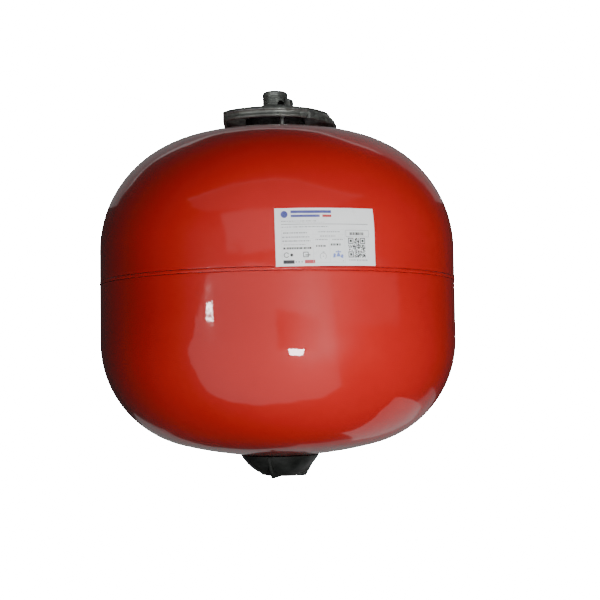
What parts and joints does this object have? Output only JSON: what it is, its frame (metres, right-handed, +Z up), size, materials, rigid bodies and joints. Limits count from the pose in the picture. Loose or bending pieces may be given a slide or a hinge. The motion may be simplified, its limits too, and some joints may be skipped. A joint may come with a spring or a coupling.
{
  "type": "expansion vessel",
  "caption": "Upright red steel diaphragm expansion vessel with a threaded water nozzle and round plate on top, an air valve under a black finned cover below, and a side label.",
  "frame": {"origin": "on the vessel's axis at the lowest point of the valve cover", "axes": "+Z up along the vessel's axis towards the water nozzle, -Y towards the front with the label, +X to the right seen from the front"},
  "size_m": [0.2808, 0.281, 0.3073],
  "materials": {
    "red_enamel": "gloss",
    "galvanised_steel": "dull zinc",
    "bare_steel": "plain",
    "brass": "turned",
    "black_plastic": "moulded",
    "black_rubber": "matt",
    "label_film": "satin"
  },
  "bodies": {
    "vessel": {"upper_shell": "red_enamel", "lower_shell": "red_enamel", "valve_recess": "red_enamel", "girth_weld": "red_enamel", "rating_label": "label_film", "diaphragm_rim": "black_rubber", "diaphragm_clamp_ring": "bare_steel", "diaphragm_wall": "black_rubber", "water_nozzle": "galvanised_steel", "nozzle_weld": "galvanised_steel", "mounting_plate": "galvanised_steel", "plate_gasket": "black_rubber", "lock_washer": "galvanised_steel", "lock_nut": "galvanised_steel", "anti_rotation_pin": "galvanised_steel", "valve_body": "brass", "valve_grommet": "black_rubber", "valve_washer": "galvanised_steel", "valve_nut": "brass", "valve_core_barrel": "brass", "valve_core_seal": "black_rubber", "valve_core_spring": "bare_steel", "valve_spring_clip": "brass", "cover_collar": "black_plastic"},
    "diaphragm": {"diaphragm_centre": "black_rubber"},
    "valve_pin": {"valve_core_pin": "brass"},
    "dust_cap_seat": {"dust_cap_seal": "black_rubber"},
    "dust_cap": {"dust_cap": "black_plastic"},
    "cover_seat": {"cover_seal": "black_rubber"},
    "cover": {"valve_cover": "black_plastic"}
  },
  "joints": [
    {"name": "diaphragm_stroke", "type": "slide", "parent": "vessel", "child": "diaphragm", "axis": [0, 0, -1], "range_m": [0, 0.075], "stiffness_N_per_m": 60, "springref_m": -0.08, "deforming": ["diaphragm_wall"]},
    {"name": "valve_pin_press", "type": "slide", "parent": "vessel", "child": "valve_pin", "axis": [0, 0, 1], "range_m": [0, 0.0015], "stiffness_N_per_m": 500, "springref_m": -0.002, "deforming": ["valve_core_spring"]},
    {"name": "dust_cap_lift", "type": "slide", "parent": "vessel", "child": "dust_cap_seat", "axis": [0, 0, -1], "range_m": [0, 0.00397]},
    {"name": "dust_cap_turn", "type": "hinge", "parent": "dust_cap_seat", "child": "dust_cap", "pos_m": [0, 0, 0.0107], "axis": [0, 0, -1], "range_deg": [0, 1800]},
    {"name": "cover_lift", "type": "slide", "parent": "vessel", "child": "cover_seat", "axis": [0, 0, -1], "range_m": [0, 0.005]},
    {"name": "cover_turn", "type": "hinge", "parent": "cover_seat", "child": "cover", "pos_m": [0, 0, 0], "axis": [0, 0, -1], "range_deg": [0, 720]}
  ],
  "couplings": [
    {"joint": "dust_cap_turn", "follows": "dust_cap_lift", "rad_per_m": 7915.8},
    {"joint": "cover_turn", "follows": "cover_lift", "rad_per_m": 2513.3}
  ]
}
